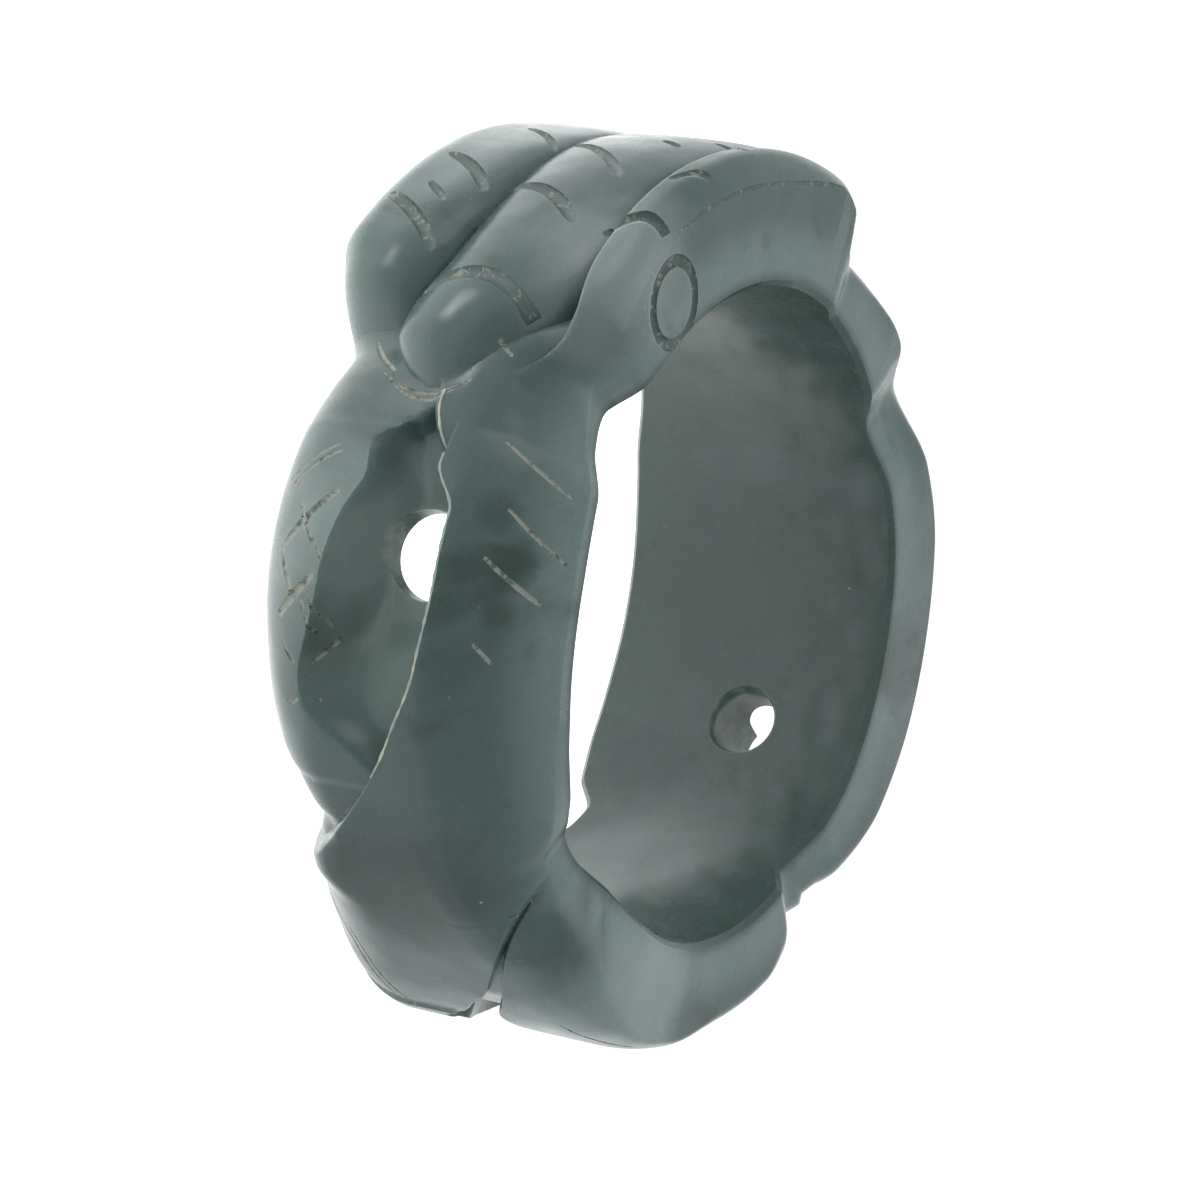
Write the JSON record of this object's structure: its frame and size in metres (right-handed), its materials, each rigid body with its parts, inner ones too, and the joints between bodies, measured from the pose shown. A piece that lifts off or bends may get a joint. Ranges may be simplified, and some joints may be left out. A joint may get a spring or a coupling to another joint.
{
  "type": "carved jade ring",
  "caption": "Finger ring carved from one piece of jade: a twisted band of crossing strands, with a ridged head, pierced lens-shaped hollows and a plain round bore.",
  "frame": {"origin": "middle of the finger bore: on its axis, halfway along the band's width", "axes": "+Z along the bore to the near rim, with the ring lying on its far rim; the ridged head is over -X"},
  "size_m": [0.0248, 0.0238, 0.0089],
  "materials": {
    "jade": "polished"
  },
  "bodies": {
    "root": {"carved_ring": "jade"}
  },
  "joints": []
}
